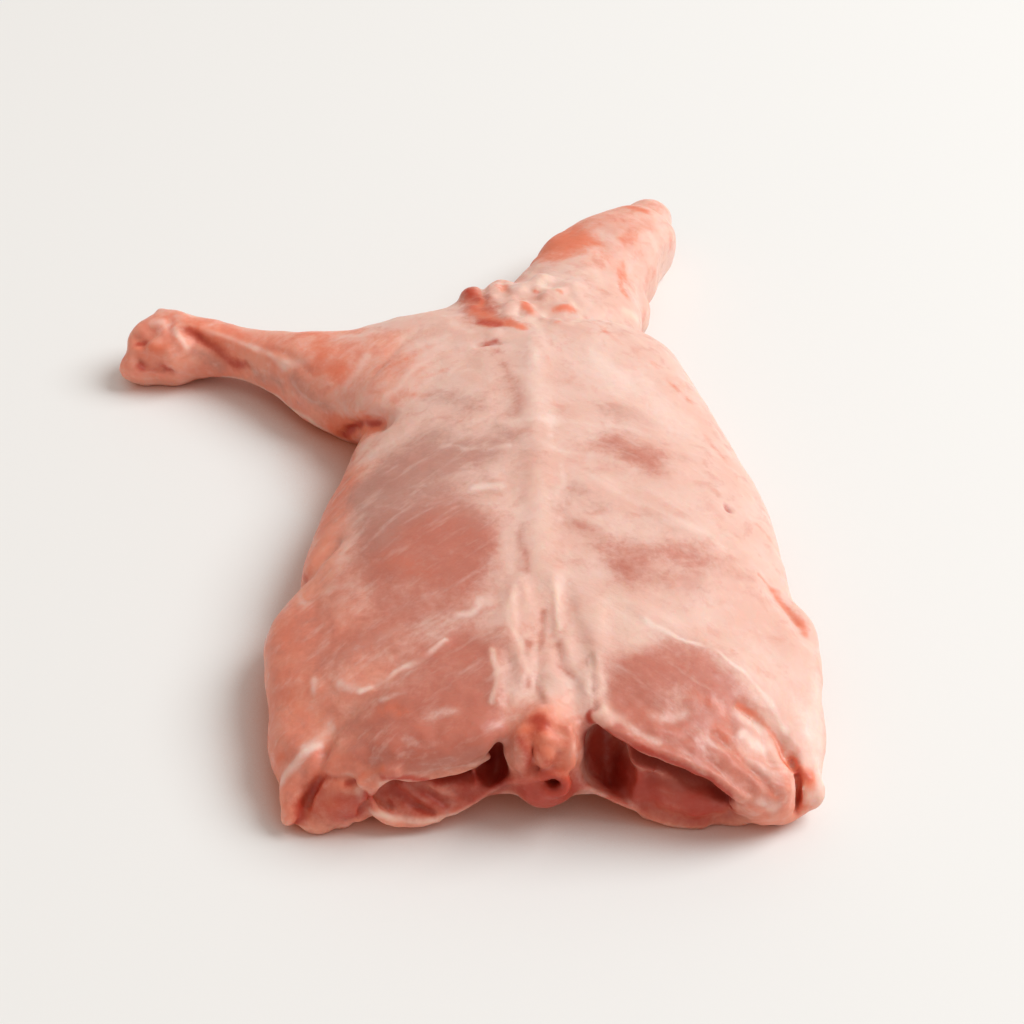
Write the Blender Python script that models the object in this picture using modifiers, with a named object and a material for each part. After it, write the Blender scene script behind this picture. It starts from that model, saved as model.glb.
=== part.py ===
"""Kid goat shoulder: a raw, skinned forequarter, built as one solid of flesh.

It lies belly down with its back up, as a butcher lays it out. X runs across the back, Y along the
backbone from the cut end to the neck, Z up. While it is modelled, X = 0 is the backbone, Y = 0 the
cut end and Z = 0 the table. The last step moves the middle of its footprint to the origin.
Sizes are in millimetres until a mesh is made.
"""

import math

import bmesh
import bpy
import numpy as np
from mathutils import Euler, Matrix, Vector

MM = 0.001
NAME = "kid_shoulder"

# Driving dimensions of the whole piece
BACK_LENGTH = 292
BACK_HEIGHT = 54
RIM_HEIGHT = 19
CUT_HALF_WIDTH = 98
LOIN_HALF_WIDTH = 108
CHEST_HALF_WIDTH = 84
SHANK_RADIUS = 11.5
KNEE_WIDTH = 38
NECK_HALF_WIDTH = 29

# How finely the flesh is worked
SIDES = 40
ROWS_BETWEEN = 5
END_ROWS = 6
VOXEL = 2.2
TRIANGLES = 10800
TABLE_PRESS = 1.2

MEAT_COLOUR = (0.68, 0.30, 0.23, 1)

# Roundness of a cross-section: 2 is an ellipse, more is squarer
TOP_POWER = 2.1
UNDER_POWER = 3.6


# ---------------------------------------------------------------- ways of making flesh


def new_object(name, mesh):
    made = bpy.data.objects.new(name, mesh)
    bpy.context.scene.collection.objects.link(made)
    return made


def mesh_from(name, build):
    """A mesh filled by a function that works on a bmesh in millimetres."""
    shape = bmesh.new()
    build(shape)
    bmesh.ops.recalc_face_normals(shape, faces=shape.faces)
    bmesh.ops.scale(shape, vec=(MM, MM, MM), verts=shape.verts)
    mesh = bpy.data.meshes.new(name)
    shape.to_mesh(mesh)
    shape.free()
    return mesh


def lump(name, centre, radii, turn=0.0, tilt=0.0, roll=0.0):
    """An ellipsoid of flesh or bone. Turn is about Z, tilt about X and roll about Y, in degrees."""

    def build(shape):
        bmesh.ops.create_uvsphere(shape, u_segments=32, v_segments=20, radius=1)
        spin = Euler((math.radians(tilt), math.radians(roll), math.radians(turn))).to_matrix().to_4x4()
        place = Matrix.Translation(Vector(centre)) @ spin @ Matrix.Diagonal((*radii, 1))
        bmesh.ops.transform(shape, matrix=place, verts=shape.verts)

    return new_object(name, mesh_from(name, build))


def cord(name, points, radii):
    """A round band of flesh along a path, as thick at each point as its radius there."""
    curve = bpy.data.curves.new(name, "CURVE")
    curve.dimensions = "3D"
    curve.bevel_depth = 1
    curve.bevel_resolution = 4
    curve.resolution_u = 6
    curve.use_fill_caps = True
    spline = curve.splines.new("NURBS")
    spline.points.add(len(points) - 1)
    spline.order_u = 3
    spline.use_endpoint_u = True
    for point, place, radius in zip(spline.points, points, radii):
        point.co = (*(value * MM for value in place), 1)
        point.radius = radius * MM
    guide = new_object(name + "_path", curve)
    graph = bpy.context.evaluated_depsgraph_get()
    mesh = bpy.data.meshes.new_from_object(guide.evaluated_get(graph))
    bpy.data.objects.remove(guide)
    shape = bmesh.new()
    shape.from_mesh(mesh)
    bmesh.ops.remove_doubles(shape, verts=shape.verts, dist=0.01 * MM)
    bmesh.ops.recalc_face_normals(shape, faces=shape.faces)
    shape.to_mesh(mesh)
    shape.free()
    return new_object(name, mesh)


def smooth_rows(rows, between):
    """Rows of numbers with more rows put in on a Catmull-Rom curve through them."""
    rows = np.array(rows, float)
    padded = np.vstack([2 * rows[0] - rows[1], rows, 2 * rows[-1] - rows[-2]])
    out = []
    for before, here, there, after in zip(padded, padded[1:], padded[2:], padded[3:]):
        for step in range(between):
            t = step / between
            pull = (there - before) * t + (2 * before - 5 * here + 4 * there - after) * t**2
            out.append(here + 0.5 * (pull + (3 * here - before - 3 * there + after) * t**3))
    out.append(rows[-1])
    return np.array(out)


def section(half_width, low, rim, crown):
    """A closed cross-section as (across, up): domed above its widest line, flatter below it."""
    points = []
    for side in range(SIDES):
        angle = 2 * math.pi * side / SIDES
        across, up = math.cos(angle), math.sin(angle)
        power = 2 / (TOP_POWER if up > 0 else UNDER_POWER)
        reach = crown - rim if up > 0 else rim - low
        points.append((
            half_width * math.copysign(abs(across) ** power, across),
            rim + reach * math.copysign(abs(up) ** power, up),
        ))
    return points


def loft(name, stations, start_round, end_round):
    """Flesh through cross-sections. A station is (x, y, half width, low, rim, crown)."""
    rows = smooth_rows(stations, ROWS_BETWEEN)
    paths = np.gradient(rows[:, :2], axis=0)
    paths /= np.linalg.norm(paths, axis=1)[:, None]
    rings = [(row, path, 0.0, 1.0) for row, path in zip(rows, paths)]
    start, end = [], []
    for step in range(1, END_ROWS):
        angle = 0.5 * math.pi * step / END_ROWS
        start.insert(0, (rows[0], paths[0], -start_round * math.sin(angle), math.cos(angle)))
        end.append((rows[-1], paths[-1], end_round * math.sin(angle), math.cos(angle)))

    def build(shape):
        loops = []
        for row, path, shift, share in start + rings + end:
            x, y, half_width, low, rim, crown = row
            centre = np.array([x, y]) + path * shift
            side = np.array([path[1], -path[0]])
            outline = section(half_width * share, rim + (low - rim) * share, rim, rim + (crown - rim) * share)
            loops.append([shape.verts.new((*(centre + side * across), up)) for across, up in outline])
        for one, two in zip(loops, loops[1:]):
            for side in range(SIDES):
                after = (side + 1) % SIDES
                shape.faces.new((one[side], one[after], two[after], two[side]))
        shape.faces.new(loops[0])
        shape.faces.new(loops[-1])

    return new_object(name, mesh_from(name, build))


# ---------------------------------------------------------------- the masses of flesh


def trunk():
    """The flattened rib cage, from the cut end to the shoulders."""
    stations = []
    for y, left, right, crown, rim in (
        (16, CUT_HALF_WIDTH - 6, CUT_HALF_WIDTH - 4, 0.84, 0.80),
        (40, CUT_HALF_WIDTH, CUT_HALF_WIDTH + 2, 0.93, 1.0),
        (75, CUT_HALF_WIDTH + 2, CUT_HALF_WIDTH + 3, 0.97, 1.15),
        (110, CUT_HALF_WIDTH, CUT_HALF_WIDTH + 2, 1.0, 1.2),
        (150, CHEST_HALF_WIDTH + 8, CHEST_HALF_WIDTH + 12, 1.0, 1.1),
        (190, CHEST_HALF_WIDTH, CHEST_HALF_WIDTH + 2, 0.96, 1.0),
        (230, CHEST_HALF_WIDTH - 8, CHEST_HALF_WIDTH - 10, 0.97, 1.0),
        (262, CHEST_HALF_WIDTH - 16, CHEST_HALF_WIDTH - 22, 0.93, 1.1),
        (BACK_LENGTH - 12, CHEST_HALF_WIDTH - 30, CHEST_HALF_WIDTH - 32, 0.84, 1.1),
    ):
        stations.append((
            (right - left) / 2, y, (right + left) / 2, 0, RIM_HEIGHT * rim, BACK_HEIGHT * crown
        ))
    loft("trunk", stations, 14, 16)
    for side in (-1, 1):
        reach = LOIN_HALF_WIDTH - 33
        lump("loin", (side * reach, 66, 20), (34, 50, 19), turn=side * 3)


def foreleg():
    """The left foreleg, laid out to the side: upper arm, elbow, shank and the cut knee joint."""
    loft(
        "foreleg",
        (
            (-20, 250, 40, 0, 22, 50),
            (-52, 251, 38, 0, 21, 47),
            (-76, 251, 33, 0, 21, 43),
            (-94, 254, 26, 2, 21, 39),
            (-110, 262, 18, 5, 21, 36),
            (-125, 270, 13.5, 7, 20, 33),
            (-138, 276, SHANK_RADIUS, 7, 19, 31),
            (-152, 281, SHANK_RADIUS + 1, 5, 18, 31),
            (-166, 284, SHANK_RADIUS + 3, 2, 18, 32),
        ),
        10,
        10,
    )
    knee = KNEE_WIDTH / 2
    lump("knee_far", (-174, 289, 19), (knee - 6, knee - 6, knee - 5))
    lump("knee_near", (-173, 276, 16), (knee - 5, knee - 6, knee - 5))
    lump("knee_upper", (-184, 285, 20), (knee - 8, knee - 7, knee - 8))
    lump("knee_lower", (-186, 273, 12), (knee - 9, knee - 8, knee - 8))
    lump("shoulder_blade", (-46, 232, 26), (40, 46, 22), turn=-30)


def neck():
    """The stub of the neck, a thick rounded end that leans to the right."""
    loft(
        "neck",
        (
            (8, 268, 42, 4, 22, 48),
            (15, 298, 36, 4, 22, 44),
            (23, 328, NECK_HALF_WIDTH, 2, 20, 40),
            (36, 353, NECK_HALF_WIDTH, 0, 19, 40),
            (51, 373, NECK_HALF_WIDTH - 5, 0, 18, 37),
        ),
        10,
        18,
    )
    for x, y, z, radius in (
        (-28, 288, 36, 9),
        (-17, 298, 37, 8),
        (-22, 279, 42, 7),
        (-8, 287, 43, 7),
        (2, 296, 42, 7),
        (6, 281, 46, 6),
        (-10, 270, 46, 7),
        (15, 290, 44, 6),
        (-22, 262, 44, 6),
    ):
        lump("knot", (x, y, z), (radius, radius, radius))


def cut_end():
    """The cut end: rounded corners, and flaps of loin that hang over what lies inside."""
    cord("left_roll", ((-90, 74, 20), (-92, 42, 17), (-90, 18, 14), (-82, 6, 13)), (12, 14, 14, 12))
    cord("right_roll", ((92, 70, 20), (93, 42, 17), (92, 20, 15), (86, 8, 13)), (12, 14, 15, 13))
    lump("left_corner", (-76, 4, 13), (15, 12, 13), turn=-20)
    lump("right_corner", (86, 6, 14), (17, 13, 14), turn=20)
    cord("left_flap", ((-76, 6, 20), (-56, 6, 32), (-36, 6, 35), (-18, 12, 38)), (11, 9, 9, 8))
    cord("right_flap", ((85, 3, 14), (67, 5, 22), (44, 7, 33), (18, 14, 40)), (13, 13, 11, 8))


def pockets():
    """The two openings under the flaps, and the gap where the cut end stands clear of the table."""
    return [
        lump("left_pocket", (-41, -2, 15), (25, 21, 13)),
        lump("left_hole", (-18, 2, 26), (6, 24, 14), roll=12),
        lump("right_hole", (22, 2, 27), (9, 26, 17), roll=-10),
        lump("right_pocket", (46, -5, 14), (29, 18, 12), roll=24),
        lump("gap_below", (0, -12, -5), (44, 46, 19)),
    ]


def inner_meat():
    """What shows in the pockets: two rounded muscles, and the thin lip of flank below them."""
    lump("left_muscle", (-42, 19, 14), (25, 17, 13))
    lump("right_muscle", (50, 15, 13), (25, 17, 13), roll=12)
    cord("left_lip", ((-68, 2, 18), (-61, 0, 8), (-48, 1, 4), (-30, 3, 8), (-10, 6, 20)), (4, 3, 3, 2.5, 2.5))
    cord("right_lip", ((10, 7, 20), (24, 4, 13), (38, 2, 5), (56, 1, 3), (74, 2, 5)), (2.5, 2.5, 3, 4, 5))


def stump():
    """The sawn backbone: a round vertebra under the two joints of its arch."""
    lump("vertebra", (0, 7, 20), (12, 12, 12))
    lump("arch_left", (-5.5, 8, 38), (7, 9, 8))
    lump("arch_right", (6, 9, 38), (6.5, 9, 8))
    lump("arch_top", (0, 15, 42), (9, 12, 8))
    lump("joint_left", (-10, 8, 32), (5, 8, 9))
    lump("joint_right", (10, 9, 32), (5, 8, 10))


def canal():
    return [lump("canal", (2.5, -2, 29), (3.5, 9, 3.5))]


# ---------------------------------------------------------------- making one solid of them


def apply_modifiers(piece):
    """The piece with its modifiers made part of its mesh."""
    graph = bpy.context.evaluated_depsgraph_get()
    mesh = bpy.data.meshes.new_from_object(piece.evaluated_get(graph))
    piece.modifiers.clear()
    piece.data = mesh
    return piece


def fused(name, pieces):
    """All the pieces as one closed skin, made by remeshing the space they fill together."""
    shape = bmesh.new()
    for piece in pieces:
        shape.from_mesh(piece.data)
        bpy.data.objects.remove(piece)
    mesh = bpy.data.meshes.new(name)
    shape.to_mesh(mesh)
    shape.free()
    piece = new_object(name, mesh)
    remesh = piece.modifiers.new("fuse", "REMESH")
    remesh.mode = "VOXEL"
    remesh.voxel_size = VOXEL * MM
    return apply_modifiers(piece)


def cut(piece, cutters):
    for cutter in cutters:
        cutter.hide_render = True
        cutter.display_type = "WIRE"
        boolean = piece.modifiers.new(cutter.name, "BOOLEAN")
        boolean.operation = "DIFFERENCE"
        boolean.object = cutter
    apply_modifiers(piece)
    for cutter in cutters:
        bpy.data.objects.remove(cutter)


def soften(piece, passes):
    smooth = piece.modifiers.new("soften", "SMOOTH")
    smooth.factor = 0.5
    smooth.iterations = passes
    return apply_modifiers(piece)


def visible_pieces():
    return [piece for piece in bpy.data.objects if piece.type == "MESH"]


# ---------------------------------------------------------------- creases, folds and swellings


def distance_to_path(points, path):
    """How far each point is from a path. A path given as (x, y) is measured in plan."""
    path = np.array(path, float)
    points = points[:, : path.shape[1]]
    nearest = np.full(len(points), np.inf)
    for start, end in zip(path, path[1:]):
        step = end - start
        share = np.clip((points - start) @ step / (step @ step), 0, 1)
        nearest = np.minimum(nearest, np.linalg.norm(points - start - share[:, None] * step, axis=1))
    return nearest


def relief(points, normals):
    """How far the skin stands out at each point: grooves go in, folds and swellings come out."""
    height = np.zeros(len(points))
    facing_up = np.clip(normals[:, 2] * 2, 0, 1)
    for path, width, rise in CREASES + FOLDS + SWELLINGS:
        reach = rise * np.exp(-((distance_to_path(points, path) / width) ** 2))
        height += reach * facing_up if len(path[0]) == 2 else reach
    return height


# Each is (path, width, rise). A path of (x, y) points lies on the back.
CREASES = (
    # the armpit, between the foreleg and the ribs
    (((-90, 216, 14), (-83, 210, 24), (-76, 201, 33), (-69, 196, 39)), 4.5, -6),
    # the notch in the left flank, and the seam from the backbone to the left corner
    (((-100, 103, 22), (-93, 104, 33), (-84, 116, 39)), 3.5, -2.5),
    (((-28, 47), (-46, 38), (-60, 31)), 3.5, -1.6),
    (((-64, 29, 41), (-72, 22, 36), (-79, 16, 31), (-85, 9, 26)), 3.5, -1.8),
    (((-82, 12, 29), (-86, 5, 25), (-89, -2, 19), (-91, -6, 10)), 3.5, -3.5),
    # furrows between the folds of fat beside the backbone
    (((1, 66), (4, 47), (7, 34), (11, 25)), 2.6, -2),
    (((-2, 57), (-2, 43), (-3, 30), (-5, 18)), 2.6, -1.6),
    (((-14, 40), (-13, 32), (-13, 22)), 2.6, -1.8),
    (((8, 76), (10, 58), (13, 46), (15, 36)), 2.6, -1.8),
    # the right flank, its bulge and the folds of its corner
    (((76, 101), (84, 97), (92, 93)), 3, -1.4),
    (((90, 91, 37), (97, 82, 33), (101, 68, 31)), 3.5, -2.6),
    (((74, 24, 37), (86, 16, 29), (92, 6, 26), (93, -2, 22), (93, -6, 12)), 2.8, -2.2),
    # the tendon groove of the shank and the pits of the knee
    (((-163, 275, 29), (-155, 272, 26), (-146, 267, 21), (-134, 261, 18)), 3.5, -1.8),
    (((-181, 277, 28), (-182, 275, 28)), 4, -2.5),
    (((-190, 268, 20), (-183, 267, 20), (-178, 266, 21)), 3.5, -2.5),
    # where the neck stub joins the shoulders
    (((-2, 262), (20, 262), (42, 275)), 6, -1.5),
)
FOLDS = (
    (((-9, 78), (-13, 65), (-14, 45)), 3, 1.6),
    (((4, 80), (4, 57)), 3, 1.4),
    (((-20, 42), (-16, 31), (-17, 19)), 2.6, 1.4),
    (((-9, 38), (-9, 23)), 2.6, 1.2),
    (((20, 66), (19, 39), (16, 24), (20, 11)), 3, 1.4),
    (((13, 67), (15, 49)), 2.6, 1),
    (((32, 67), (46, 58), (63, 50), (75, 44), (85, 32), (92, 17)), 2.6, 1.2),
    # the backbone
    (((-3, 238), (-3, 190), (-2, 150), (-1, 100), (0, 82)), 6, 2),
)
SWELLINGS = (
    (((-52, 16), (-34, 14)), 20, 2.5),
    (((40, 30), (58, 30)), 20, 2.5),
    (((-58, 150), (-50, 110)), 26, 1.5),
    (((56, 150), (52, 100)), 26, 1.5),
)


def sculpt(piece):
    """Moves the skin of a finely remeshed piece in or out along its own normals."""
    mesh = piece.data
    points = np.empty(len(mesh.vertices) * 3)
    mesh.vertices.foreach_get("co", points)
    points = points.reshape(-1, 3)
    normals = np.empty(len(mesh.vertices) * 3)
    mesh.vertex_normals.foreach_get("vector", normals)
    normals = normals.reshape(-1, 3)
    points += normals * (relief(points / MM, normals) * MM)[:, None]
    mesh.vertices.foreach_set("co", points.ravel())
    mesh.update()


def rest_on_table(mesh, below):
    """Presses what lies lower than a height flat, as the table does."""
    points = np.empty(len(mesh.vertices) * 3)
    mesh.vertices.foreach_get("co", points)
    points = points.reshape(-1, 3)
    points[:, 2] = np.maximum(points[:, 2], below * MM)
    mesh.vertices.foreach_set("co", points.ravel())
    mesh.update()


def thinned(piece):
    """The same skin in fewer triangles, most of them where it bends."""
    mesh = piece.data
    mesh.calc_loop_triangles()
    decimate = piece.modifiers.new("thin", "DECIMATE")
    decimate.ratio = TRIANGLES / len(mesh.loop_triangles)
    decimate.use_collapse_triangulate = True
    return apply_modifiers(piece)


def centre_footprint(mesh):
    """Puts the middle of the bounding box at X = Y = 0 and its lowest point at Z = 0."""
    points = np.empty(len(mesh.vertices) * 3)
    mesh.vertices.foreach_get("co", points)
    points = points.reshape(-1, 3)
    low, high = points.min(axis=0), points.max(axis=0)
    points -= ((low[0] + high[0]) / 2, (low[1] + high[1]) / 2, low[2])
    mesh.vertices.foreach_set("co", points.ravel())
    mesh.update()


def raw_meat():
    """Moist raw meat under a thin pale skin of fat."""
    material = bpy.data.materials.new("raw_meat")
    material.use_nodes = True
    shader = material.node_tree.nodes["Principled BSDF"]
    shader.inputs["Base Color"].default_value = MEAT_COLOUR
    shader.inputs["Roughness"].default_value = 0.42
    shader.inputs["Metallic"].default_value = 0
    return material


def collect(piece, name):
    collection = bpy.data.collections.new(name)
    bpy.context.scene.collection.children.link(collection)
    collection.objects.link(piece)
    bpy.context.scene.collection.objects.unlink(piece)


def clear_scene():
    for old in list(bpy.data.objects):
        bpy.data.objects.remove(old)


clear_scene()
trunk()
foreleg()
neck()
cut_end()
flesh = soften(fused("flesh", visible_pieces()), 10)
cut(flesh, pockets())
inner_meat()
stump()
flesh = fused("flesh", visible_pieces())
cut(flesh, canal())
flesh = soften(flesh, 3)
sculpt(flesh)
flesh = soften(flesh, 1)
rest_on_table(flesh.data, TABLE_PRESS)
thinned(flesh)
rest_on_table(flesh.data, TABLE_PRESS + 0.05)
centre_footprint(flesh.data)
flesh.name = NAME
flesh.data.materials.append(raw_meat())
flesh.data.shade_smooth()
collect(flesh, "kid_goat_shoulder")
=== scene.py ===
import itertools
import math

import bmesh
import bpy
import numpy as np
from mathutils import Euler, Matrix, Vector


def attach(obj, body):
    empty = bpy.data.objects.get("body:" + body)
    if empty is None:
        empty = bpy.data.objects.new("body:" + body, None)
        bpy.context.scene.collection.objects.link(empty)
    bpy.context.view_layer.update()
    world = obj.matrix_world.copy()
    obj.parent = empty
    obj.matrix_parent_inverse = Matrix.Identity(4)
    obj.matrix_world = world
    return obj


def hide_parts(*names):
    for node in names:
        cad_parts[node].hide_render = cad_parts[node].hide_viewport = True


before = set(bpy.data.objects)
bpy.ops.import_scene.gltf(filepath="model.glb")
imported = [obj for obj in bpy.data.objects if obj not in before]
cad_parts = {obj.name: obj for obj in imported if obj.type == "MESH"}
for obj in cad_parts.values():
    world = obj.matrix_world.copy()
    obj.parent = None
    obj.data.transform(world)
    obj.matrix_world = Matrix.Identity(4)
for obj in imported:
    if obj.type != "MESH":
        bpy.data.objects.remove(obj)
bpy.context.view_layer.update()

MM = 0.001
scene = bpy.context.scene


# ---------------------------------------------------------------- the camera
# A long lens looks down on the back at forty degrees from the cut end, as a cook standing
# at the table sees it.

CAMERA_PLACE = (0.03116, -0.68217, 0.56186)
CAMERA_TILT = 50
LENS = 70
SENSOR_WIDTH = 36

camera = bpy.data.objects.new("camera", bpy.data.cameras.new("camera"))
camera.data.lens = LENS
camera.data.sensor_width = SENSOR_WIDTH
camera.location = CAMERA_PLACE
camera.rotation_euler = (math.radians(CAMERA_TILT), 0, 0)
scene.collection.objects.link(camera)
scene.camera = camera
scene.view_settings.view_transform = "Standard"
scene.view_settings.look = "None"


# ---------------------------------------------------------------- the flesh
# One skinned forequarter of a young goat, cut across behind the shoulders and at the neck.
# It is red muscle under a thin pale film, with cream fat along the backbone. The solid's
# skin is made fine here, then worked with folds, creases, cut edges and knots of fat.

# Places on the meat are in millimetres: X from the backbone to the animal's right, Y from
# the cut end to the neck, Z from the table. This puts them in the frame of the solid.
BACKBONE_AT_CUT = np.array([43.38, -192.01, -1.25])

SKIN_VOXEL = 1.1
SLIT_VOXEL = 0.9
SKIN_TRIANGLES = 188000
SAME_PLACE = 0.005
PRESSED_BELOW = 2.2
SLIT_STEPS = 8
SLIT_TAPER = 0.35
OVER_TABLE = 0.02

# The flesh is ragged near the cut end and knotted at the neck's root.
RAGGED_REACH = 14
KNOTS_MIDDLE = (-8, 276)
KNOTS_REACH = 28


def vertex_array(mesh, source="co"):
    """The places of a mesh's vertices, or their normals, as rows of three numbers."""
    values = np.empty(len(mesh.vertices) * 3, np.float32)
    if source == "co":
        mesh.vertices.foreach_get("co", values)
    else:
        mesh.vertex_normals.foreach_get("vector", values)
    return values.reshape(-1, 3).astype(float)


def set_skin(piece, mesh):
    """Gives a piece a new mesh in place of its old one and its modifiers."""
    old = piece.data
    piece.modifiers.clear()
    piece.data = mesh
    bpy.data.meshes.remove(old)
    return piece


def finished(piece):
    """The piece with its modifiers made part of its mesh."""
    graph = bpy.context.evaluated_depsgraph_get()
    return set_skin(piece, bpy.data.meshes.new_from_object(piece.evaluated_get(graph)))


def remade(piece, voxel=SKIN_VOXEL):
    """The piece's outside as one skin of small even squares, as loose as clay to work on."""
    remesh = piece.modifiers.new("fine", "REMESH")
    remesh.mode = "VOXEL"
    remesh.voxel_size = voxel * MM
    return finished(piece)


def in_frame(points):
    """Places given from the backbone in millimetres, in metres in the frame of the solid."""
    return (np.asarray(points, float) + BACKBONE_AT_CUT) * MM


def lump(shape, middle, radii, turn=0, tilt=0, roll=0):
    """Adds an ellipsoid. Turn is about Z, tilt about X and roll about Y, in degrees."""
    spin = Euler((math.radians(tilt), math.radians(roll), math.radians(turn))).to_matrix().to_4x4()
    scale = Matrix.Diagonal((*(radius * MM for radius in radii), 1))
    place = Matrix.Translation(Vector(in_frame(middle))) @ spin @ scale
    bmesh.ops.create_uvsphere(shape, u_segments=24, v_segments=16, radius=1, matrix=place)


def band(shape, path, radii):
    """Adds a strand through the points of a path, as thick at each as its radius there."""
    curve = bpy.data.curves.new("strand", "CURVE")
    curve.dimensions = "3D"
    curve.bevel_depth = 1
    curve.bevel_resolution = 3
    curve.resolution_u = 5
    curve.use_fill_caps = True
    spline = curve.splines.new("NURBS")
    spline.points.add(len(path) - 1)
    spline.order_u = 3
    spline.use_endpoint_u = True
    for point, middle, radius in zip(spline.points, in_frame(path), radii):
        point.co = (*middle, 1)
        point.radius = radius * MM
    guide = bpy.data.objects.new("strand", curve)
    scene.collection.objects.link(guide)
    graph = bpy.context.evaluated_depsgraph_get()
    mesh = bpy.data.meshes.new_from_object(guide.evaluated_get(graph))
    shape.from_mesh(mesh)
    bpy.data.objects.remove(guide)
    bpy.data.curves.remove(curve)
    bpy.data.meshes.remove(mesh)


def crevice(shape, path, radius, inward):
    """Adds a slit that follows a path on the skin and goes in under what hangs over it."""
    path, inward = np.array(path, float), np.array(inward, float)
    for share in np.linspace(-0.5, 1, SLIT_STEPS):
        here = radius * (1 - SLIT_TAPER * max(share, 0))
        band(shape, path + inward * share, [here] * len(path))


def new_piece(name, build):
    """An object whose mesh is filled by a function that works on a bmesh."""
    shape = bmesh.new()
    build(shape)
    bmesh.ops.remove_doubles(shape, verts=shape.verts, dist=SAME_PLACE * MM)
    bmesh.ops.recalc_face_normals(shape, faces=shape.faces)
    mesh = bpy.data.meshes.new(name)
    shape.to_mesh(mesh)
    shape.free()
    piece = bpy.data.objects.new(name, mesh)
    scene.collection.objects.link(piece)
    return piece


def added_meat(shape):
    """The thin lips, skins and joints of the cut end that are too fine for the solid."""
    shape.from_mesh(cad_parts["kid_shoulder"].data)
    # the left corner: its outer roll, the lobe inside it and the foot they stand on
    band(shape, ((-76, 24, 28), (-84, 15, 25), (-90, 8.5, 20), (-93, 3, 14), (-91, -3, 6)),
         (3.5, 5.2, 6, 5.5, 5.5))
    lump(shape, (-84, 7, 21), (5.5, 6, 6))
    lump(shape, (-77, 2.5, 15), (9.5, 8.5, 14), roll=38)
    lump(shape, (-84, 1.5, 6.5), (9, 8.5, 8))
    lump(shape, (-67, -3, 26), (3, 3, 4), roll=-30)
    # the edges of the two flaps
    band(shape, ((-65, -4, 19), (-63.5, -4, 23), (-60, -3, 29), (-56, -3, 34)), (2.4, 2.8, 3.2, 3))
    band(shape, ((-56, -3, 35), (-52, -2, 31), (-47, -1, 28), (-40, 2, 26), (-30, 4.5, 26.5),
                 (-21, 9, 30)), (3, 3, 3, 3, 2.8, 2.4))
    band(shape, ((16, 13, 46), (25, 6, 44), (34, 1.5, 42), (48, -1.5, 37.5), (60, -4, 33),
                 (69, -7, 26.5), (77, -6, 18)), (2, 2.4, 2.4, 2.6, 2.8, 3.6, 4.5))
    # the lips of thin flank below the openings
    band(shape, ((-66, -3, 23), (-63.5, -4, 16), (-60, -4.5, 10.5), (-53, -4.5, 7.5), (-45, -4, 7),
                 (-36, -2, 8.5), (-28, -0.5, 11.5), (-22, 2, 16), (-15, 3, 20.5)),
         (2, 2.4, 2.6, 2.4, 2, 1.8, 1.6, 1.5, 1.4))
    band(shape, ((-60, 3, 5), (-48, 4, 4), (-36, 6, 6)), (4, 4, 4))
    band(shape, ((12, 2.5, 21), (18, 2, 17), (25, 1, 13.5), (33, 0, 10.5), (41, -1.5, 6.5),
                 (50, -1.5, 4), (60, -2, 4)), (1.6, 1.6, 1.6, 1.8, 2, 2.4, 2.6))
    # the strips of muscle in the left opening, and the nub of fat beside them
    band(shape, ((-60, 5, 18), (-55, 3, 13), (-50, -1, 9.5), (-46, -2, 7.5)), (2.6, 3, 3, 2.4))
    band(shape, ((-53, 5, 20), (-47, 3, 15.5), (-41, 1, 12), (-35, 0, 10)), (2.8, 3.2, 3, 2.4))
    band(shape, ((-44, 5, 20), (-37, 3, 17), (-31, 2, 14), (-26, 2, 13)), (2.6, 3, 2.8, 2.2))
    lump(shape, (-26, 4.5, 19), (3.4, 3.2, 3.2), roll=30)
    # the muscle in the right opening, with a ridge at its edge
    lump(shape, (54, 4, 14), (17, 8.5, 11), roll=14)
    band(shape, ((34, 7, 30), (34.5, 4, 24), (34.5, 2.5, 18), (33, 2, 13)), (1.8, 2.2, 2.2, 1.8))
    # the right corner: its lobes and the small one outside them
    lump(shape, (83, 1.5, 15), (10.5, 8.5, 12.5), roll=-12)
    lump(shape, (98, 5, 13), (5.5, 6.5, 6.5))
    # the skin that runs from the left lip over the canal, and the low rim round it
    band(shape, ((-15, 3, 20.5), (-9, -0.5, 26), (-3, -2, 29.5), (2, -3, 31), (6, -3, 31)),
         (1.4, 1.7, 1.9, 1.9, 1.8))
    band(shape, ((6, -3, 31), (8, -3.6, 27.5), (6.5, -4, 24), (2.5, -4.6, 22.5), (-1, -4, 24)),
         (2, 2.2, 2.4, 2.2, 2))
    # the glands and knots of fat at the neck's root
    lump(shape, (-30.5, 289, 39.5), (6.5, 6.5, 6.5), tilt=20)
    lump(shape, (-23, 278, 43), (6.5, 7, 4.6), turn=30)
    lump(shape, (-29, 269, 43), (6.5, 6.5, 5.2))
    lump(shape, (-21.5, 257, 46), (6.5, 4.4, 4), turn=20)
    lump(shape, (-20, 290, 41.5), (5.5, 6, 4.5))
    band(shape, ((-8, 277, 46), (-5, 270, 47.5), (-3, 263, 48)), (2.4, 3.6, 2.6))
    band(shape, ((-14, 258, 48.5), (-8, 250, 49.5)), (2.6, 3))
    lump(shape, (10.5, 270.5, 46.5), (5, 4, 3.4))
    # the neck's root and tip, and the nubs on the knee
    lump(shape, (46, 315, 13), (9.5, 14, 12))
    lump(shape, (56, 385, 22), (14, 13, 10))
    lump(shape, (-179, 296, 26), (4, 4, 4))
    lump(shape, (-191.5, 273, 11), (6, 6, 7.5))
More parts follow.
